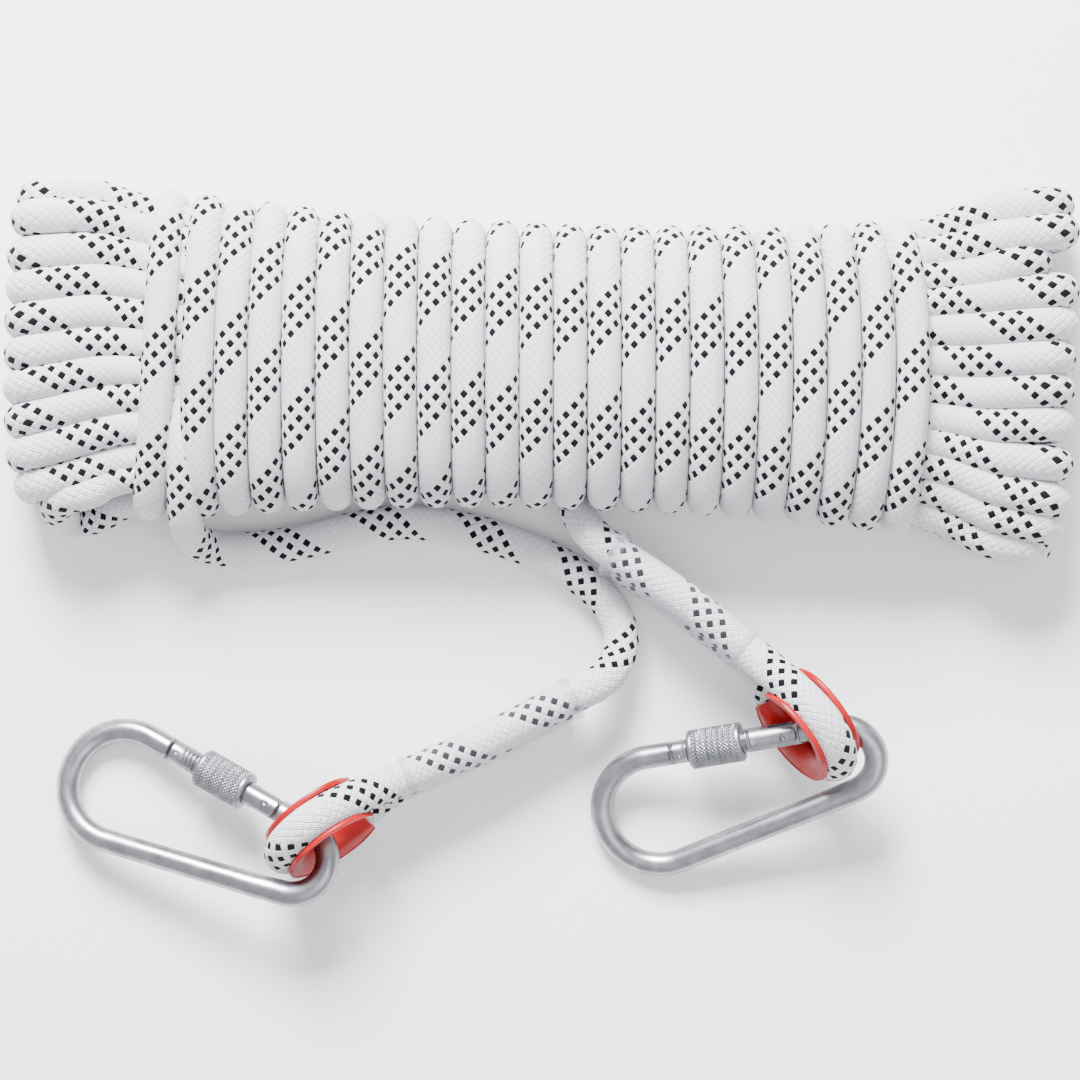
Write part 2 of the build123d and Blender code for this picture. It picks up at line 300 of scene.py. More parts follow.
def ring_faces(rings, around, closed=False):
    """Quads between consecutive rings of the same number of points."""
    faces = []
    for i in range(rings if closed else rings - 1):
        here, there = i * around, ((i + 1) % rings) * around
        for k in range(around):
            n = (k + 1) % around
            faces.append((here + k, here + n, there + n, there + k))
    return faces


def capped(rings, around):
    faces = ring_faces(rings, around)
    faces.append(tuple(reversed(range(around))))
    faces.append(tuple((rings - 1) * around + k for k in range(around)))
    return faces


def turned(name, place, stations, around, radius):
    """A turned piece on the X axis of place; radius(x, angle) gives its surface at each station."""
    vertices = []
    for x in stations:
        for k in range(around):
            angle = 2 * math.pi * k / around
            r = radius(x, angle)
            vertices.append(place @ (Vector((x, r * math.cos(angle), r * math.sin(angle))) * MM))
    made = make_object(name, vertices, capped(len(stations), around))
    return face_outward(made, 35)


def cut(made, tool):
    """made less tool, with the tool removed."""
    modifier = made.modifiers.new("cut", "BOOLEAN")
    modifier.operation = "DIFFERENCE"
    modifier.solver = "EXACT"
    modifier.object = tool
    graph = bpy.context.evaluated_depsgraph_get()
    result = bpy.data.meshes.new_from_object(made.evaluated_get(graph))
    made.modifiers.remove(modifier)
    old = made.data
    made.data = result
    bpy.data.meshes.remove(old)
    bpy.data.objects.remove(tool)
    return made


def box_tool(place, low, high):
    vertices = [place @ (Vector((x, y, z)) * MM) for x in (low[0], high[0]) for y in (low[1], high[1])
                for z in (low[2], high[2])]
    faces = [(0, 1, 3, 2), (4, 6, 7, 5), (0, 4, 5, 1), (2, 3, 7, 6), (0, 2, 6, 4), (1, 5, 7, 3)]
    return face_outward(make_object("tool", vertices, faces, smooth=False))


def plate(name, place, outline, hole, thickness):
    """A flat plate in the XY plane of place, with an optional hole, closed all round."""
    work = bmesh.new()
    for loop in [outline] + ([hole] if hole else []):
        ring = [work.verts.new(place @ (Vector((x, y, -thickness / 2)) * MM)) for x, y in loop]
        for first, second in zip(ring, ring[1:] + ring[:1]):
            work.edges.new((first, second))
    bmesh.ops.triangle_fill(work, use_beauty=True, use_dissolve=False, edges=work.edges[:])
    up = (place.to_3x3() @ Vector((0, 0, thickness))) * MM
    grown = bmesh.ops.extrude_face_region(work, geom=work.faces[:])
    lifted = [v for v in grown["geom"] if isinstance(v, bmesh.types.BMVert)]
    bmesh.ops.translate(work, verts=lifted, vec=up)
    bmesh.ops.recalc_face_normals(work, faces=work.faces)
    mesh = bpy.data.meshes.new(name)
    work.to_mesh(mesh)
    work.free()
    made = bpy.data.objects.new(name, mesh)
    bpy.context.collection.objects.link(made)
    return made


def join(first, *others):
    """One object that holds several closed shells."""
    work = bmesh.new()
    for o in (first,) + others:
        work.from_mesh(o.data)
    work.to_mesh(first.data)
    work.free()
    for o in others:
        bpy.data.objects.remove(o)
    return first


def dress(made, material, body, node):
    made.data.materials.clear()
    made.data.materials.append(material)
    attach(made, body)
    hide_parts(node)


# ---- where each eye and hook lies ----
# point in millimetres, then heading, pitch and lean in degrees
EYE_POSE = {"left": ((-59.9, -127.8, 18.5), 32.0, -12.1, 16.8),
            "right": ((73.5, -98.7, 22.3), 128.7, -9.8, -16.2)}
HOOK_POSE = {"left": ((-68.5, -136.8, 19.4), 158.3, -13.0, 5.7),
             "right": ((83.5, -109.1, 19.7), 196.6, -12.84, -9.9)}
NUT_REAR = {"left": 6.8, "right": 11.7}      # from the hinge pin to the lock nut's rear face


def pose_axes(heading, pitch, lean):
    h, p, r = math.radians(heading), math.radians(pitch), math.radians(lean)
    forward = Vector((math.cos(h) * math.cos(p), math.sin(h) * math.cos(p), math.sin(p)))
    side = UP.cross(forward).normalized()
    top = forward.cross(side)
    return forward, side * math.cos(r) - top * math.sin(r), top * math.cos(r) + side * math.sin(r)


def placed(point, x, z):
    """A frame whose origin is a point in millimetres and whose lengths are metres."""
    x, z = x.normalized(), z.normalized()
    y = z.cross(x)
    made = Matrix((x, y, z)).transposed().to_4x4()
    made.translation = Vector(point) * MM
    return made


def eye_frame(hand):
    point, heading, pitch, lean = EYE_POSE[hand]
    forward, side, _ = pose_axes(heading, pitch, lean)
    return placed(point, forward, -side)


def hook_frame(hand):
    point, heading, pitch, lean = HOOK_POSE[hand]
    forward, _, top = pose_axes(heading, pitch, -lean)
    return placed(point, forward, top)


# ---- the rope's route, from the right-hand end of the rope to the left-hand one ----
ROPE_D = 10.0
SEAT_R = 13.8
LEG_TAPER = 25.0
NECK_REACH = 22.5
EYE_CORNERS = 5
RETURN_END = 3.1
SLEEVE_ROUTE = {"left": [(-18.5, -106.8, 12.5), (9.8, -91.8, 10.54)],
                "right": [(38.3, -64.2, 15.9), (19.9, -52.0, 14.2)]}
SLEEVE_LEAN = {"left": 8.0, "right": -8.0}
NECK_HOLD = 11.0             # a point of the route this far past the neck
LEFT_TAIL = [(18.2, -87.6, 13.5), (23.6, -78.6, 8.6), (21.4, -68.0, 5.2), (12.6, -59.2, 5.0),
             (-0.3, -51.6, 5.0), (-14.1, -47.0, 5.0), (-28.2, -43.7, 5.0), (-40.3, -42.8, 5.0),
             (-53.5, -45.4, 5.0), (-67.6, -49.0, 5.0), (-81.7, -51.2, 5.0), (-92.3, -50.6, 6.4),
             (-97.2, -48.0, 14.0), (-98.2, -42.0, 23.0)]
RIGHT_TAIL = [(13.4, -46.0, 16.5), (9.4, -38.4, 10.0)]

WRAPS = 23
WRAP_FIRST = 100.4           # middle of the first and of the last turn, along X
WRAP_PITCH = 9.22
WRAP_LAST = -104.0
TURN_POINTS = 12
TURN_SWELL = 1 / math.cos(math.radians(15))  # a turn's corners stand this much outside its curve

# the long loops' bends past the wrapping, from the front of the hank to its back:
# Y where the strand leaves the wrapping, Y half way, Y at the bend, X of the bend, Z of its upper strand,
# and where the bend leans, how far its lower strand lies along Y from the upper one
LEFT_BENDS = [(-29.5, -33.0, -36.6, -134.0, 25.5, -6.5), (-25.0, -28.0, -33.2, -141.0, 26.0),
              (-16.6, -19.0, -25.0, -143.0, 28.6), (-8.6, -10.2, -15.6, -143.4, 29.3),
              (-1.4, -1.8, -6.4, -143.6, 30.0), (6.0, 6.2, 2.8, -143.4, 30.2),
              (13.8, 14.6, 12.0, -143.2, 30.4), (22.0, 23.0, 21.0, -142.8, 29.8),
              (29.6, 31.4, 30.0, -142.6, 28.8), (37.2, 41.0, 40.6, -141.8, 27.4),
              (43.0, 46.6, 46.4, -140.5, 23.0)]
RIGHT_BENDS = [(-41.0, -47.6, -50.2, 137.5, 21.0), (-34.6, -40.2, -44.8, 140.6, 25.0),
               (-28.0, -33.2, -37.6, 142.2, 27.8), (-21.6, -25.4, -27.4, 142.8, 29.2),
               (-15.2, -16.8, -16.4, 143.0, 30.0), (-7.6, -8.0, -7.0, 143.2, 30.4),
               (0.4, 0.6, 2.2, 143.6, 30.6), (8.8, 9.6, 11.2, 144.2, 30.4),
               (17.4, 18.4, 20.4, 144.4, 29.8), (24.0, 24.8, 29.0, 137.0, 29.4),
               (30.6, 34.0, 37.0, 144.6, 28.2), (37.0, 42.4, 44.6, 143.6, 24.0)]
BEND_FOOT = 6.4              # Z of each bend's lower strand
EDGE_X, MIDDLE_X = 113, 122  # where a strand leaves the wrapping, and half way to its bend
BEND_REACH = 11              # how far before its end a bend starts

# the hank over its wrapping
HANK_HALF_WIDTH = 39.6       # at the waist
HANK_HALF_HEIGHT = 24.0
WAIST_X = 10
WAIST_FLARE = 5.5            # the half-width gained at FLARE_REACH from the waist
FLARE_REACH = 105
HANK_DRIFT = -0.03           # how the centre line leans, in Y for each millimetre of X
HANK_FLAT = 1.6              # depth that its weight flattens
STRAND_INSET_Y, STRAND_INSET_Z = 14.6, 14.4    # of the long strands' lines, from the outside
WRAP_INSET = 4.9             # of a wrapping turn's line, from the outside


def sleeve_points(hand):
    neck = eye_frame(hand) @ Vector((NECK_REACH * MM, 0, 0)) / MM
    return [neck] + [Vector(p) for p in SLEEVE_ROUTE[hand]]


def stack_step(hand):
    """Half the offset from the return leg to the standing leg, which lie one on the other in the sleeve."""
    first, last = sleeve_points(hand)[0], sleeve_points(hand)[-1]
    run = last - first
    heading = math.degrees(math.atan2(run.y, run.x))
    pitch = math.degrees(math.asin(run.z / run.length))
    return pose_axes(heading, pitch, SLEEVE_LEAN[hand])[2] * (ROPE_D / 2)


def eye_route(hand):
    """From the sleeve, under and round the thimble, and back on top."""
    turn = (180 + 2 * LEG_TAPER) / EYE_CORNERS
    corner_r = SEAT_R / math.cos(math.radians(turn / 2))
    step = stack_step(hand)
    neck, middle, end = sleeve_points(hand)
    hold = neck + (middle - neck).normalized() * NECK_HOLD
    around = []
    for i in range(EYE_CORNERS):
        angle = math.radians(90 - LEG_TAPER + turn * (EYE_CORNERS - 0.5 - i))
        corner = Vector((math.cos(angle), math.sin(angle), 0)) * corner_r * MM
        around.append(eye_frame(hand) @ corner / MM)
    back = (end - middle).normalized() * RETURN_END
    return ([end - back - step, middle - step, hold - step, neck - step] + around
            + [neck + step, hold + step, middle + step, end + step])


def hank_section(x):
    """The hank's oval over the wrapping: middle in Y, half-width, middle in Z, half-height."""
    half_width = HANK_HALF_WIDTH + WAIST_FLARE * ((x - WAIST_X) / FLARE_REACH) ** 2
    half_height = HANK_HALF_HEIGHT * HANK_HALF_WIDTH / half_width
    return HANK_DRIFT * x, half_width, half_height - HANK_FLAT, half_height


def strand_point(x, share, layer):
    """A long strand in the wrapping: share from -1 at the front to 1 at the back, layer 1 on top, -1 below."""
    y, half_width, z, half_height = hank_section(x)
    reach, rise = half_width - STRAND_INSET_Y, half_height - STRAND_INSET_Z
    height = rise * math.sqrt(max(1 - (0.93 * share) ** 2, 0.1))
    return x, y + reach * share, max(z + layer * height, ROPE_D / 2)


def bend(values, side):
    """The control points of one bend, from its lower strand to its upper one; side is -1 at the left."""
    edge, middle, out, tip, top = values[:5]
    shift = values[5] if len(values) > 5 else 0.0
    x_edge, x_middle, x_out = EDGE_X * side, MIDDLE_X * side, tip - BEND_REACH * side
    between = (middle + out) / 2
    return [(x_edge, edge + shift, 9.5), (x_middle, middle + shift, 7.5), (x_out, between + shift, BEND_FOOT),
            (tip, out + shift, BEND_FOOT), (tip, out, top), (x_out, between, top + 0.8),
            (x_middle, middle, top + 0.6), (x_edge, edge, top - 1.2)]


def long_loops():
    """Up and down the hank: lower strand to the right, bend, upper strand to the left, bend, and so on."""
    inside = (-62.0, -22.0, 18.0, 62.0)
    route = [strand_point(18.0, -0.95, -1), strand_point(62.0, -1.0, -1)]
    count = len(LEFT_BENDS)
    for i, right in enumerate(RIGHT_BENDS):
        route += bend(right, 1)
        if i == count:
            break
        share = 2 * i / (count - 1) - 1
        route += [strand_point(x, share, 1) for x in reversed(inside)]
        route += bend(LEFT_BENDS[i], -1)[::-1]
        share = min(2 * (i + 0.5) / (count - 1) - 1, 1.0)
        route += [strand_point(x, share, -1) for x in inside]
    return route


LEFT_GAP_X, RIGHT_GAP_X = -97, 8.5    # where the rope's two ends pass between the turns


def parted(x, angle):
    """How far the wrapping turns are pushed along X by the rope's two ends."""
    front = max(0.0, math.sin(math.radians(min(max(angle - 105, 0), 180)))) ** 1.5
    left = 2.6 * front * (-1 if x < LEFT_GAP_X else math.exp(-(x - LEFT_GAP_X) / 10))
    under = max(0.0, math.sin(math.radians(min(max((angle - 190) * 1.6, 0), 180))))
    right = 4.2 * under * (-1 if x < RIGHT_GAP_X else 1) * math.exp(-abs(x - RIGHT_GAP_X) / 26)
    return left + right


def lean(x, y):
    """The turns near the hank's ends bow outwards, and lean at the left."""
    right = max(0.0, (x - 20) / 80) ** 1.6
    left = max(0.0, (-x - 60) / 42)
    return 3.4 * right * (0.35 - (y / 44) ** 2) + left * 0.045 * y


def wrap_point(x, angle, inset=0.0):
    """On a wrapping turn's centre line; angle 0 at the back, 90 on top, 180 at the front."""
    y, half_width, z, half_height = hank_section(x)
    a = math.radians(angle)
    reach = (half_width - WRAP_INSET - inset) * TURN_SWELL
    rise = (half_height - WRAP_INSET - inset) * TURN_SWELL
    py = y + reach * math.cos(a)
    pz = max(z + rise * math.sin(a), WRAP_INSET)
    return x + parted(x, angle % 360) + lean(x, py), py, pz


def wrapping():
    """The turns from right to left: over the top from back to front, then below to the next turn."""
    centres = [WRAP_FIRST - WRAP_PITCH * k for k in range(WRAPS - 1)] + [WRAP_LAST]
    route = []
    for k, x in enumerate(centres):
        following = centres[k + 1] if k + 1 < WRAPS else WRAP_LAST + 3
        for i in range(TURN_POINTS):
            angle = 360 // TURN_POINTS * i - 15
            passed = min(max((angle - 195) / 150, 0), 1)
            route.append(wrap_point(x + (following - x) * passed, angle))
    return route


def whole_route():
    right = eye_route("right") + [Vector(p) for p in RIGHT_TAIL]
    entry = [(8.6, -29.0, 6.2), (9.0, -19.0, 9.5)]
    start = [(96.0, 33.0, 21.0), (70.0, 30.0, 22.0), (62.0, 29.5, 15.0), (70.0, 29.0, 8.5),
             (97.5, 31.5, 7.0)]
    tuck = [wrap_point(-98.0, -15, 8.0), wrap_point(-97.5, 15, 9.5), wrap_point(-97.2, 45, 9.5),
            wrap_point(-97.5, 75, 9.5), wrap_point(-98.0, 100, 9.5), (-98.0, -20.0, 31.5),
            (-98.0, -33.0, 28.5)]
    left = [Vector(p) for p in reversed(LEFT_TAIL)] + eye_route("left")[::-1]
    return right + entry + long_loops() + start + wrapping() + tuck + left


def read_spline(points, resolution):
    """The smooth line through the route's control points, as a list of points in metres."""
    data = bpy.data.curves.new("route", "CURVE")
    data.dimensions = "3D"
    data.resolution_u = resolution
    spline = data.splines.new("NURBS")
    spline.points.add(len(points) - 1)
    for point, place in zip(spline.points, points):
        point.co = (*(Vector(place) * MM), 1)
    spline.order_u = 3
    spline.use_endpoint_u = True
    holder = bpy.data.objects.new("route", data)
    bpy.context.collection.objects.link(holder)
    graph = bpy.context.evaluated_depsgraph_get()
    mesh = bpy.data.meshes.new_from_object(holder.evaluated_get(graph))
    line = [v.co.copy() for v in mesh.vertices]
    bpy.data.objects.remove(holder)
    bpy.data.curves.remove(data)
    bpy.data.meshes.remove(mesh)
    return line


def thinned(line, spacing):
    """The line's own points at least a spacing apart."""
    kept = [line[0]]
    for point in line[1:-1]:
        if (point - kept[-1]).length >= spacing:
            kept.append(point)
    if (line[-1] - kept[-1]).length < spacing * 0.5:
        kept.pop()
    return kept + [line[-1]]


def carried_frames(line):
    """Tangent and two crosswise directions at each point, turning no more than the line does."""
    points = [Vector(p) for p in line]
    tangents = [(points[min(i + 1, len(points) - 1)] - points[max(i - 1, 0)]).normalized()
                for i in range(len(points))]
    across = tangents[0].orthogonal().normalized()
    frames = []
    for tangent in tangents:
        across = (across - tangent * across.dot(tangent)).normalized()
        frames.append((tangent, across, tangent.cross(across)))
    return frames


BRAID_PITCH = 0.0287         # metres of rope in which a carrier winds once round
ROUND = 24                   # points in each ring of the tube
RING_SPACING = 0.0029
WRAP_SQUEEZE = 0.915         # width of a wrapping turn, pressed by its neighbours


def make_rope(line, squeezes):
    """The sheath as a closed tube whose UV holds turns of the braid along it and the share round it."""
    frames = carried_frames(line)
    radius = ROPE_D / 2 * MM
    vertices, distances = [], [0.0]
    for i, (centre, (tangent, across, third)) in enumerate(zip(line, frames)):
        if i:
            distances.append(distances[-1] + (centre - line[i - 1]).length)
        for k in range(ROUND):
            angle = 2 * math.pi * k / ROUND
            offset = (across * math.cos(angle) + third * math.sin(angle)) * radius
            offset.x *= squeezes[i]
            vertices.append(centre + offset)
    faces = ring_faces(len(line), ROUND)
    sides = len(faces)
    for end, inward in ((0, 1), (len(line) - 1, -1)):
        rim = [end * ROUND + k for k in range(ROUND)]
        outward = frames[end][0] * -inward
        first = len(vertices)
        vertices += [line[end] + (vertices[r] - line[end]) * 0.8 + outward * 0.0006 for r in rim]
        inner = list(range(first, first + ROUND))
        for k in range(ROUND):
            n = (k + 1) % ROUND
            quad = (rim[k], rim[n], inner[n], inner[k])
            faces.append(quad if inward < 0 else quad[::-1])
        faces.append(tuple(inner) if inward < 0 else tuple(reversed(inner)))
    made = make_object("escape_rope", vertices, faces)
    layer = made.data.uv_layers.new(name="braid")
    for face in made.data.polygons:
        if face.index >= sides:
            face.material_index = 1
            continue
        ring, k = divmod(face.index, ROUND)
        corners = ((ring, k), (ring, k + 1), (ring + 1, k + 1), (ring + 1, k))
        for loop, (i, j) in zip(face.loop_indices, corners):
            layer.data[loop].uv = (distances[i] / BRAID_PITCH, j / ROUND)
    return made, distances[-1]


def squeeze_along(line):
    """How much each ring is pressed along X: fully where the line runs round the hank's wrapping."""
    amounts = []
    for i, point in enumerate(line):
        tangent = (line[min(i + 1, len(line) - 1)] - line[max(i - 1, 0)]).normalized()
        x = point.x / MM
        y, half_width, z, half_height = hank_section(x)
        reach = math.hypot((point.y / MM - y) / half_width, (point.z / MM - z) / half_height)
        wrapped = -108 < x < 106 and abs(tangent.x) < 0.3 and 0.75 < reach < 1.05
        amounts.append(WRAP_SQUEEZE if wrapped else 1.0)
    padded = [1.0] * 3 + amounts + [1.0] * 3
    return [sum(padded[i:i + 7]) / 7 for i in range(len(amounts))]


# ---- thimbles and sleeves ----
THIMBLE_WALL = 1.2
SEAT_GAP = 0.1
FLANGE_RISE = 1.0
LEG_LENGTH = 8.5
LEG_FADE = 3.6               # how much shallower the channel is at the legs' ends


def thimble_profile():
    """The channel's section: x outward from the thimble's centre, y across; both lips beaded."""
    inner, outer = ROPE_D / 2 + SEAT_GAP, ROPE_D / 2 + SEAT_GAP + THIMBLE_WALL
    steps = 14

    def channel(radius, order):
        opening = math.acos(FLANGE_RISE / radius)
        angles = [opening + (2 * math.pi - 2 * opening) * i / steps for i in order]
        return [(radius * math.cos(a), radius * math.sin(a)) for a in angles]

    inside = channel(inner, range(steps + 1))
    outside = channel(outer, range(steps, -1, -1))
    bead = 0.45
    low = [(FLANGE_RISE + bead * 0.8, -(inner + 0.45)), (FLANGE_RISE + bead, -(inner + 0.85)),
           (FLANGE_RISE + bead * 0.5, -(outer + 0.25))]
    high = [(x, -y) for x, y in reversed(low)]
    return inside + low + outside + high


def make_thimble(hand):
    place = eye_frame(hand)
    profile = thimble_profile()
    sweep = 180 + 2 * LEG_TAPER
    stations = [("leg", -LEG_LENGTH), ("leg", -LEG_LENGTH * 0.55), ("leg", -0.2 * LEG_LENGTH)]
    stations += [("arc", sweep * i / 44) for i in range(45)]
    stations += [("end", LEG_LENGTH * 0.2), ("end", LEG_LENGTH * 0.55), ("end", LEG_LENGTH)]
    start = math.radians(90 - LEG_TAPER)
    vertices = []
    for kind, value in stations:
        angle = start + math.radians({"leg": 0, "arc": value, "end": sweep}[kind])
        slide = value if kind != "arc" else 0.0
        outward = Vector((math.cos(angle), math.sin(angle), 0))
        along = Vector((-math.sin(angle), math.cos(angle), 0))
        fade = max(0.0, abs(slide) / LEG_LENGTH - 0.1) / 0.9
        for x, y in profile:
            rise = x - LEG_FADE * fade ** 1.6 * max(0.0, (x + 5.0) / 6.0)
            vertices.append(place @ ((outward * (SEAT_R + rise) + along * slide + UP * y) * MM))
    made = make_object("thimble_shell_" + hand, vertices, capped(len(stations), len(profile)))
    return face_outward(made, 40)


SLEEVE_LAP = 4               # bare rope between the neck and the film
FILM_OUTSIDE, FILM_INSIDE = 5.62, 5.14
EYE_RINGS = 400              # enough of the rope's rings, from an end, to hold its eye and sleeve


def standing_leg(hand, line):
    """Points on the standing leg of rope, from the sleeve's start near the eye to its end, and its step."""
    neck, middle, end = [p * MM for p in sleeve_points(hand)]
    step = stack_step(hand) * MM
    start = neck + (middle - neck).normalized() * SLEEVE_LAP * MM
    half = line[:EYE_RINGS] if hand == "right" else line[-EYE_RINGS:]
    leg = []
    for a, b in ((start, middle), (middle, end)):
        count = max(int((b - a).length / 0.0012), 2)
        for i in range(count + (b is end)):
            target = a + (b - a) * i / count + step
            spot = min(range(1, len(half) - 1), key=lambda j: (half[j] - target).length)
            sides = [intersect_point_line(target, half[spot + j], half[spot + j + 1]) for j in (-1, 0)]
            held = [half[spot + j].lerp(half[spot + j + 1], min(max(t, 0), 1))
                    for j, (_, t) in zip((-1, 0), sides)]
            leg.append(min(held, key=lambda p: (p - target).length))
    return leg, step


SLEEVE_FLARE = {"left": 0.3, "right": 1.1}    # how far the film's far end opens


def make_sleeve(hand, line):
    """Clear film round both legs of rope, wavy, and open at its far end."""
    leg, step = standing_leg(hand, line)
    fine = len(leg)
    ups = np.array([list(p) for p in leg])
    kernel = np.ones(5) / 5
    for axis in range(3):
        padded = np.pad(ups[:, axis], 2, mode="reflect", reflect_type="odd")
        ups[:, axis] = np.convolve(padded, kernel, mode="valid")
    lows = ups - np.array(step) * 2
    around = 32
    shells = []
    for layer, base in (("out", FILM_OUTSIDE), ("in", FILM_INSIDE)):
        for i in range(fine):
            u, l = Vector(ups[i]), Vector(lows[i])
            before, after = Vector(ups[max(i - 1, 0)]), Vector(ups[min(i + 1, fine - 1)])
            tangent = (after - before).normalized()
            rise = u - l
            rise = (rise - tangent * rise.dot(tangent)).normalized()
            side = tangent.cross(rise)
            share = i / (fine - 1)
            flare = SLEEVE_FLARE[hand] * max(0.0, (share - 0.84) / 0.16) ** 2
            for k in range(around):
                angle = -math.pi / 2 + 2 * math.pi * (k + 0.5) / around
                centre = u if k < around / 2 else l
                wave = 0.10 * math.sin(9.0 * share * 6.283 + 2 * angle) * (1 if layer == "out" else 0)
                r = (base + wave + flare * abs(math.sin(angle))) * MM
                shells.append(centre + rise * r * math.cos(angle) + side * r * math.sin(angle))
    count = fine * around
    faces = ring_faces(fine, around)
    faces += [tuple(count + v for v in reversed(f)) for f in faces]
    for ring in (0, fine - 1):
        for k in range(around):
            n = (k + 1) % around
            a, b = ring * around + k, ring * around + n
            faces.append((a, count + a, count + b, b) if ring == 0 else (a, b, count + b, count + a))
    made = make_object("shrink_sleeve_" + hand, shells, faces)
    layer = made.data.uv_layers.new(name="film")
    for face in made.data.polygons:
        for loop, vertex in zip(face.loop_indices, face.vertices):
            ring, k = divmod(vertex % count, around)
            layer.data[loop].uv = (ring / (fine - 1), abs(2 * k / around - 1))
    return face_outward(made, 50)


# ---- carabiners, in the hook's own frame ----
ROD_R = 3.3
ROOTED = 0.4                 # how deep the tenon and the tongue are rooted in the rod
SMALL_BOW = 9.8
BIG_BOW = 15.8
BOW_SPACING = 54.0
HINGE_FROM_BOW = 14.2
GATE_REACH = 31.7
GATE_TAIL = 3.7
TIP_GAP = 0.6
TAIL_GAP = 0.4
TENON_T = 2.6
CAM_R = 3.0
CAM_OFFSET = 0.8
SLOT_DEPTH = 3.9
HINGE_PIN_R = 1.2
PIN_GAP = 0.04
LATCH_AT = 29.5
LATCH_PIN_R = 1.0
LATCH_SLOT_FROM = 26.0
TONGUE_T = 2.0
TONGUE_FROM = 27.6
NOTCH_PLAY = 0.25
SIDE_GAP = 0.1
THREAD_R = 3.4
THREAD_ROOT = 2.86
THREAD_PITCH = 1.25
THREAD_FROM = 9.0
THREAD_TO = 28.0
NUT_R = 5.5
NUT_LENGTH = 15.2
NUT_GAP = 0.06
PLUNGER_LENGTH = 4.6
PLUNGER_GAP = 0.05
BORE_R = 1.3
BORE_END = 14.0
SPRING_ROOM = 0.4            # for the plunger's travel, behind the spring
BOW_TAPER = math.asin((BIG_BOW - SMALL_BOW) / BOW_SPACING)
GATE_START = Vector((-SMALL_BOW * math.sin(BOW_TAPER), -SMALL_BOW * math.cos(BOW_TAPER), 0))
GATE_ALONG = Vector((math.cos(BOW_TAPER), -math.sin(BOW_TAPER), 0))


def gate_frame(hand):
    """Origin at the hinge pin, X to the gate's tip, Y into the hook."""
    place = hook_frame(hand)
    start = place @ ((GATE_START + GATE_ALONG * HINGE_FROM_BOW) * MM) / MM
    return placed(start, place.to_3x3() @ GATE_ALONG, place.to_3x3() @ UP)


def rod_route():
    """The bent rod's line, from the hinge to the nose."""
    small, big = Vector((0, 0, 0)), Vector((BOW_SPACING, 0, 0))
    first = GATE_START + GATE_ALONG * (HINGE_FROM_BOW - GATE_TAIL - TAIL_GAP)
    nose = GATE_START + GATE_ALONG * (HINGE_FROM_BOW + GATE_REACH + TIP_GAP)
    points = [first + (GATE_START - first) * i / 8 for i in range(8)]
    for i in range(37):
        angle = -math.pi / 2 - BOW_TAPER - (math.pi - 2 * BOW_TAPER) * i / 36
        points.append(small + Vector((math.cos(angle), math.sin(angle), 0)) * SMALL_BOW)
    spine_small, begin = points[-1], math.pi / 2 + BOW_TAPER
    spine_big = big + Vector((math.cos(begin), math.sin(begin), 0)) * BIG_BOW
    points += [spine_small + (spine_big - spine_small) * i / 30 for i in range(1, 30)]
    for i in range(49):
        angle = begin - (math.pi + 2 * BOW_TAPER) * i / 48
        points.append(big + Vector((math.cos(angle), math.sin(angle), 0)) * BIG_BOW)
    last = points[-1]
    points += [last + (nose - last) * i / 6 for i in range(1, 7)]
    return points


def swell(share):
    """The rod is pressed wider, outwards, where the small bow runs into the spine."""
    return math.exp(-((share - 0.24) / 0.055) ** 2)


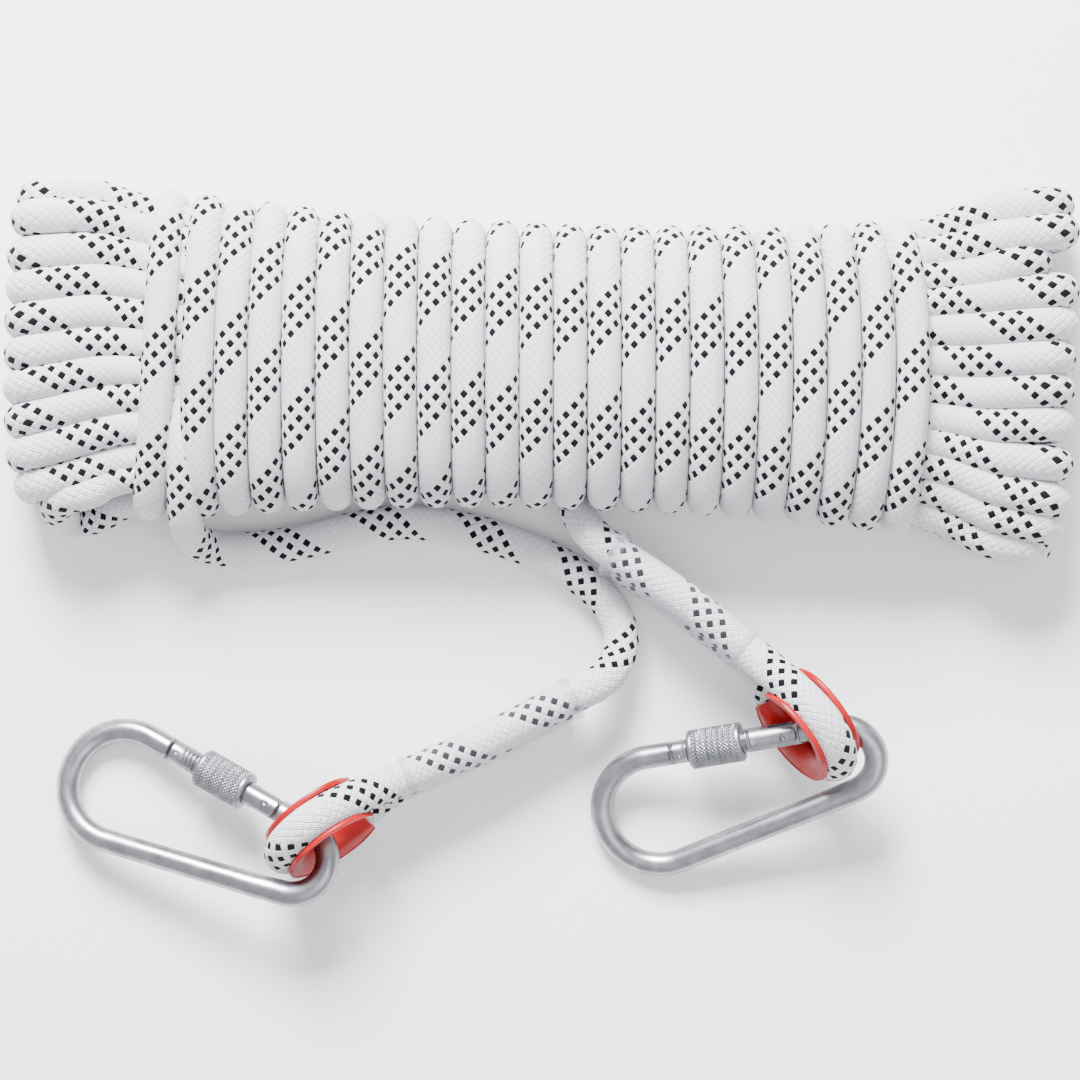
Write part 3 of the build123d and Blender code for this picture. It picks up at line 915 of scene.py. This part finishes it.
def make_hook_body(hand):
    place = hook_frame(hand)
    points = rod_route()
    lengths = [0.0]
    for a, b in zip(points, points[1:]):
        lengths.append(lengths[-1] + (b - a).length)
    around = 40
    rims = [(0, 0.55), (0, 0.88), (0, 1.0)] + [(i, 1.0) for i in range(1, len(points) - 1)]
    last = len(points) - 1
    rims += [(last, 1.0), (last, 0.88), (last, 0.55)]
    vertices = []
    for index, size in rims:
        before, after = points[max(index - 1, 0)], points[min(index + 1, last)]
        tangent = (after - before).normalized()
        outward = Vector((-tangent.y, tangent.x, 0)) * -1
        share = lengths[index] / lengths[-1]
        wide = 0.55 * swell(share)
        centre = points[index]
        if index in (0, last) and size == 1.0:
            centre = centre + tangent * (0.35 if index == 0 else -0.35)
        for k in range(around):
            angle = 2 * math.pi * k / around
            x, z = math.cos(angle), math.sin(angle)
            r_out = ROD_R + (wide if x < 0 else -0.15 * wide)
            local = centre + outward * (-x * r_out * size) + UP * (z * (ROD_R - 0.5 * wide) * size)
            vertices.append(place @ (local * MM))
    rod = face_outward(make_object("carabiner_" + hand, vertices, capped(len(rims), around)), 40)
    gate = gate_frame(hand)
    tail = -GATE_TAIL - TAIL_GAP - ROOTED
    half = math.sqrt(ROD_R**2 - (TENON_T / 2) ** 2)
    round_end = []
    for i in range(25):
        angle = -math.pi / 2 + math.pi * i / 24
        rise = CAM_OFFSET + CAM_R * math.sin(angle)
        round_end.append((CAM_R * math.cos(angle), max(min(rise, half), -half)))
    hole_r = HINGE_PIN_R + PIN_GAP
    pin_hole = [(hole_r * math.cos(math.pi * i / 12), hole_r * math.sin(math.pi * i / 12)) for i in range(24)]
    tenon = plate("tenon", gate, [(tail, -half)] + round_end + [(tail, half)], pin_hole, TENON_T)
    notch = LATCH_PIN_R + NOTCH_PLAY / 2
    middle = LATCH_AT - NOTCH_PLAY / 2
    left, right = middle - notch - NOTCH_PLAY / 2, middle + notch + NOTCH_PLAY / 2
    wide = math.sqrt(ROD_R**2 - (TONGUE_T / 2) ** 2)
    end = GATE_REACH + TIP_GAP + ROOTED
    width = right - left
    turns = [math.pi * i / 10 for i in range(11)]
    seat = [(left + width * (1 - math.cos(turn)) / 2, -width / 2 * math.sin(turn)) for turn in turns]
    outline = [(TONGUE_FROM, -wide), (end, -wide), (end, wide), (right, wide)]
    outline += seat[::-1] + [(left, wide), (TONGUE_FROM, wide)]
    tongue = plate("tongue", gate, outline, None, TONGUE_T)
    return join(rod, tenon, tongue)


def thread_radius(x, angle):
    """A rounded vee thread, run out at both ends."""
    turn = (x / THREAD_PITCH - angle / (2 * math.pi)) % 1.0
    tooth = abs(2 * turn - 1)
    run_in, run_out = max(0.0, (x - THREAD_FROM) / 1.2), max(0.0, (THREAD_TO - x) / 1.2)
    depth = (THREAD_R - THREAD_ROOT) * min(1.0, run_in, run_out)
    return THREAD_R - depth * (1 - min(tooth * 1.25, 1.0))


def across_gate(hand, at):
    """A frame at a distance from the hinge pin, its X along that pin."""
    return gate_frame(hand) @ Matrix.Translation(Vector((at, 0, 0)) * MM) @ Matrix.Rotation(math.pi / 2, 4, "Y")


def make_gate(hand):
    """Gate rod with rounded tail, hinge fork, thread, spring bore and the latch slot in its tip."""
    place = gate_frame(hand)

    def radius(x, angle):
        if THREAD_FROM < x < THREAD_TO:
            return thread_radius(x, angle)
        chamfer = 0.45 * max(0.0, 1 - (GATE_REACH - x) / 0.5) + 0.35 * max(0.0, 1 - (x + GATE_TAIL) / 0.4)
        return ROD_R - chamfer

    stations = [-GATE_TAIL, -GATE_TAIL + 0.4, -2, 0, 2, 4, 6, 8, THREAD_FROM - 0.05]
    stations += [THREAD_FROM + 0.12 * i for i in range(1, int((THREAD_TO - THREAD_FROM) / 0.12))]
    stations += [THREAD_TO + 0.05, 29, 30, 31, GATE_REACH - 0.5, GATE_REACH]
    made = turned("gate_rod_" + hand, place, stations, 48, radius)
    corners = cut(box_tool(place, (-2 * GATE_TAIL, -5, -5), (0, 5, 5)),
                  turned("tail_round", across_gate(hand, 0.0), [-6, 6], 64, lambda x, angle: GATE_TAIL))
    made = cut(made, corners)
    slot = TENON_T / 2 + SIDE_GAP
    made = cut(made, box_tool(place, (-GATE_TAIL - 2, -5, -slot), (SLOT_DEPTH, 5, slot)))
    slot = TONGUE_T / 2 + SIDE_GAP
    made = cut(made, box_tool(place, (LATCH_SLOT_FROM, -5, -slot), (GATE_REACH + 2, 5, slot)))
    made = cut(made, turned("bore", place, [SLOT_DEPTH - 1, BORE_END], 24, lambda x, angle: BORE_R))
    for at, r in ((0.0, HINGE_PIN_R), (LATCH_AT, LATCH_PIN_R)):
        made = cut(made, turned("drill", across_gate(hand, at), [-5, 5], 24, lambda x, angle: r))
    made.data.shade_smooth()
    return face_outward(made, 32)


def make_cross_pin(name, hand, at, radius):
    """A riveted pin, dressed to the gate's round, with a punched dimple in each end."""
    place = across_gate(hand, at)
    reach = math.sqrt(ROD_R**2 - radius**2) + 0.12
    stations = [-reach + 0.22, -reach, -reach + 0.12, 0, reach - 0.12, reach, reach - 0.22]
    sizes = [0.35, 0.62, 1.0, 1.0, 1.0, 0.62, 0.35]
    vertices = []
    for x, size in zip(stations, sizes):
        for k in range(24):
            angle = 2 * math.pi * k / 24
            spot = Vector((x, radius * size * math.cos(angle), radius * size * math.sin(angle)))
            vertices.append(place @ (spot * MM))
    return face_outward(make_object(name + "_" + hand, vertices, capped(len(stations), 24)), 40)


def make_plunger(hand):
    """The pin that the spring presses on the tenon, with a rounded nose."""
    start = CAM_R + PLUNGER_GAP
    end = start + PLUNGER_LENGTH

    def radius(x, angle):
        return (BORE_R - PLUNGER_GAP) * min(1.0, 0.55 + 0.45 * math.sqrt(max(0.0, (x - start) / 0.5)))

    stations = [start, start + 0.06, start + 0.15, start + 0.3, start + 0.5, end - 0.3, end]
    return turned("plunger_" + hand, gate_frame(hand), stations, 24, radius)


def spring_nodes():
    """Geometry Nodes: a helix of Turns turns, Height long, given a round wire of Wire radius."""
    tree = bpy.data.node_groups.new("coil_spring", "GeometryNodeTree")
    tree.interface.new_socket("Geometry", in_out="OUTPUT", socket_type="NodeSocketGeometry")
    for name, value, kind in (("Turns", 9.0, "NodeSocketFloat"), ("Height", 0.0063, "NodeSocketFloat"),
                              ("Radius", 0.001, "NodeSocketFloat"), ("Wire", 0.0002, "NodeSocketFloat"),
                              ("Finish", None, "NodeSocketMaterial")):
        socket = tree.interface.new_socket(name, in_out="INPUT", socket_type=kind)
        if value is not None:
            socket.default_value = value
    nodes, links = tree.nodes, tree.links
    given, out = nodes.new("NodeGroupInput"), nodes.new("NodeGroupOutput")
    helix = nodes.new("GeometryNodeCurveSpiral")
    helix.inputs["Resolution"].default_value = 20
    links.new(given.outputs["Turns"], helix.inputs["Rotations"])
    links.new(given.outputs["Radius"], helix.inputs["Start Radius"])
    links.new(given.outputs["Radius"], helix.inputs["End Radius"])
    links.new(given.outputs["Height"], helix.inputs["Height"])
    wire = nodes.new("GeometryNodeCurvePrimitiveCircle")
    wire.inputs["Resolution"].default_value = 10
    links.new(given.outputs["Wire"], wire.inputs["Radius"])
    skin = nodes.new("GeometryNodeCurveToMesh")
    skin.inputs["Fill Caps"].default_value = True
    links.new(helix.outputs[0], skin.inputs["Curve"])
    links.new(wire.outputs[0], skin.inputs["Profile Curve"])
    real = nodes.new("GeometryNodeRealizeInstances")
    paint = nodes.new("GeometryNodeSetMaterial")
    links.new(skin.outputs[0], real.inputs[0])
    links.new(real.outputs[0], paint.inputs["Geometry"])
    links.new(given.outputs["Finish"], paint.inputs["Material"])
    links.new(paint.outputs[0], out.inputs[0])
    return tree


def make_spring(hand, tree, material):
    start = CAM_R + PLUNGER_GAP + PLUNGER_LENGTH
    wire = 0.22
    length = BORE_END - SPRING_ROOM - start
    given = {"Turns": 8.0, "Height": (length - 2 * wire) * MM, "Radius": (BORE_R - 0.07 - wire) * MM,
             "Wire": wire * MM, "Finish": material}
    holder = make_object("holder", [(0, 0, 0)], [])
    modifier = holder.modifiers.new("coil", "NODES")
    modifier.node_group = tree
    for item in tree.interface.items_tree:
        if item.in_out == "INPUT":
            modifier[item.identifier] = given[item.name]
    graph = bpy.context.evaluated_depsgraph_get()
    mesh = bpy.data.meshes.new_from_object(holder.evaluated_get(graph))
    bpy.data.objects.remove(holder)
    mesh.transform(across_gate(hand, start + wire))
    mesh.shade_smooth()
    made = bpy.data.objects.new("return_spring_" + hand, mesh)
    bpy.context.collection.objects.link(made)
    return face_outward(made)


def make_lock_nut(hand):
    """Knurled sleeve nut: plain chamfered rims and a diamond knurl between them."""
    place = gate_frame(hand)
    rear = NUT_REAR[hand]
    around, teeth = 160, 32

    def outer(x, angle):
        into = min(x - rear, rear + NUT_LENGTH - x)
        if into < 0.5:
            return NUT_R - 0.5 + into
        if into < 1.3:
            return NUT_R
        turn = teeth * angle / (2 * math.pi)
        step = 2 * math.pi * NUT_R / teeth
        one, two = (turn + (x - rear) / step) % 1.0, (turn - (x - rear) / step) % 1.0
        peak = min(min(one, 1 - one), min(two, 1 - two)) * 2
        return NUT_R - 0.34 * max(0.0, 1 - 1.9 * peak) - 0.02

    stations = [rear, rear + 0.25, rear + 0.5, rear + 0.9, rear + 1.28]
    stations += [rear + 1.35 + 0.19 * i for i in range(int((NUT_LENGTH - 2.7) / 0.19) + 1)]
    stations += [rear + NUT_LENGTH - d for d in (1.28, 0.9, 0.5, 0.25, 0.0)]
    made = turned("screw_sleeve_" + hand, place, stations, around, outer)
    hole = turned("hole", place, [rear - 1, rear + NUT_LENGTH + 1], 48, lambda x, angle: THREAD_R + NUT_GAP)
    made = cut(made, hole)
    made.data.shade_smooth()
    return face_outward(made, 45)


# ---- making ----
make_camera()
make_area_light("window", (-0.20, 0.85, 0.75), (0, 0, 0), 0.5, 75.0)
make_area_light("fill", (0.4, -0.5, 1.1), (0, -0.05, 0), 1.0, 7.0)
world = bpy.data.worlds.new("studio")
world.use_nodes = True
world.node_tree.nodes["Background"].inputs["Color"].default_value = (0.97, 0.98, 1.0, 1)
world.node_tree.nodes["Background"].inputs["Strength"].default_value = 1.0
bpy.context.scene.world = world

floor = make_object("floor", [(-3, -3, 0), (3, -3, 0), (3, 3, 0), (-3, 3, 0)], [(0, 1, 2, 3)])
floor.data.materials.append(floor_material())

rope_line = thinned(read_spline(whole_route(), 24), RING_SPACING)
rope, rope_length = make_rope(rope_line, squeeze_along(rope_line))
rope.data.materials.append(braid_material())
rope.data.materials.append(cut_end_material())
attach(rope, "rope")
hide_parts("rope_hank_loops", "rope_hank_wrapping", "rope_tail_left", "rope_tail_right")

steel = zinc_material("zinc_plate", (0.40, 0.405, 0.43, 1), (0.27, 0.275, 0.30, 1), 0.26)
nut_steel = zinc_material("knurled_zinc", (0.36, 0.365, 0.39, 1), (0.23, 0.235, 0.26, 1), 0.36)
pin_steel = zinc_material("pin_steel", (0.33, 0.33, 0.35, 1), (0.22, 0.22, 0.24, 1), 0.30)
red, film = thimble_material(), sleeve_material()
coil = spring_nodes()
for hand in ("left", "right"):
    dress(make_thimble(hand), red, "rope", "thimble_" + hand)
    dress(make_sleeve(hand, rope_line), film, "rope", "splice_sleeve_" + hand)
    dress(make_hook_body(hand), steel, "carabiner_" + hand, "carabiner_body_" + hand)
    dress(make_gate(hand), steel, "gate_" + hand, "gate_" + hand)
    for kind, at, radius in (("hinge_pin", 0.0, HINGE_PIN_R), ("latch_pin", LATCH_AT, LATCH_PIN_R)):
        dress(make_cross_pin(kind, hand, at, radius), pin_steel, "gate_" + hand,
              "gate_" + kind + "_" + hand)
    dress(make_plunger(hand), pin_steel, "plunger_" + hand, "gate_plunger_" + hand)
    dress(make_spring(hand, coil, pin_steel), pin_steel, "plunger_" + hand,
          "gate_spring_" + hand)
    dress(make_lock_nut(hand), nut_steel, "lock_nut_" + hand, "lock_nut_" + hand)
